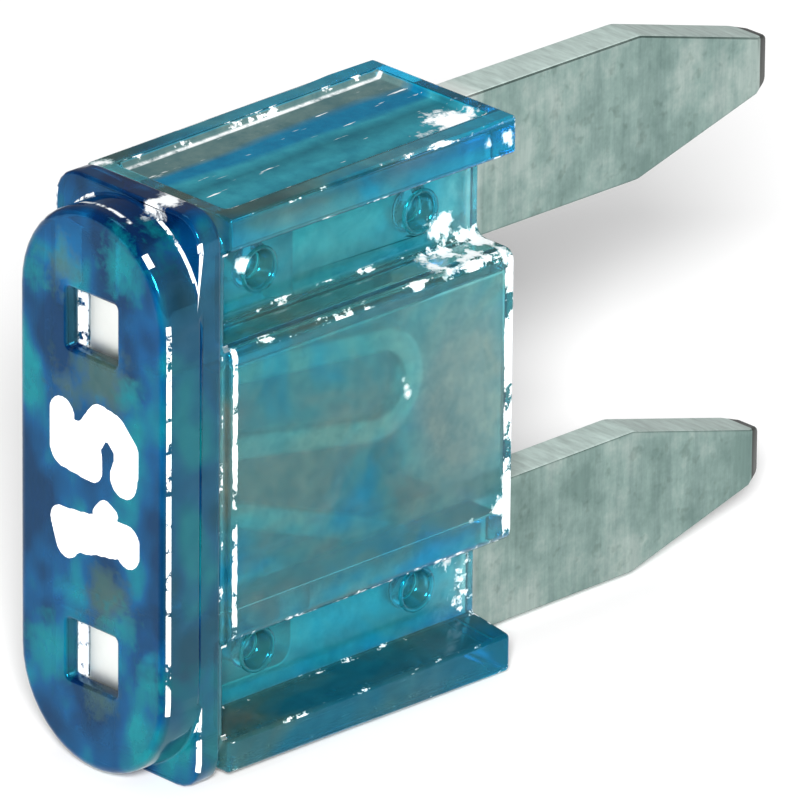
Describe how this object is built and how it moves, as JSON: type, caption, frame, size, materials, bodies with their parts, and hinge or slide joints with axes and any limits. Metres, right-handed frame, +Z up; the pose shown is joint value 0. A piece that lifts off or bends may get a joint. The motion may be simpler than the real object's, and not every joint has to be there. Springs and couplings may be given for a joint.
{
  "type": "automotive blade fuse",
  "caption": "Small plug-in blade fuse: clear blue housing with a round-ended cap and test windows, over a flat metal element with tapered blades.",
  "frame": {"origin": "bottom centre of the whole fuse as it stands on its narrow side", "axes": "+X from the cap to the blade tips, +Y through the thickness, +Z up across both blades"},
  "size_m": [0.0164, 0.0038, 0.0109],
  "materials": {
    "clear_blue_plastic": "clear light blue moulding, glossy, see-through",
    "zinc_alloy": "stamped zinc alloy, dull grey with fine cross marks"
  },
  "bodies": {
    "root": {"housing": "clear_blue_plastic", "fuse_element": "zinc_alloy"}
  },
  "joints": []
}
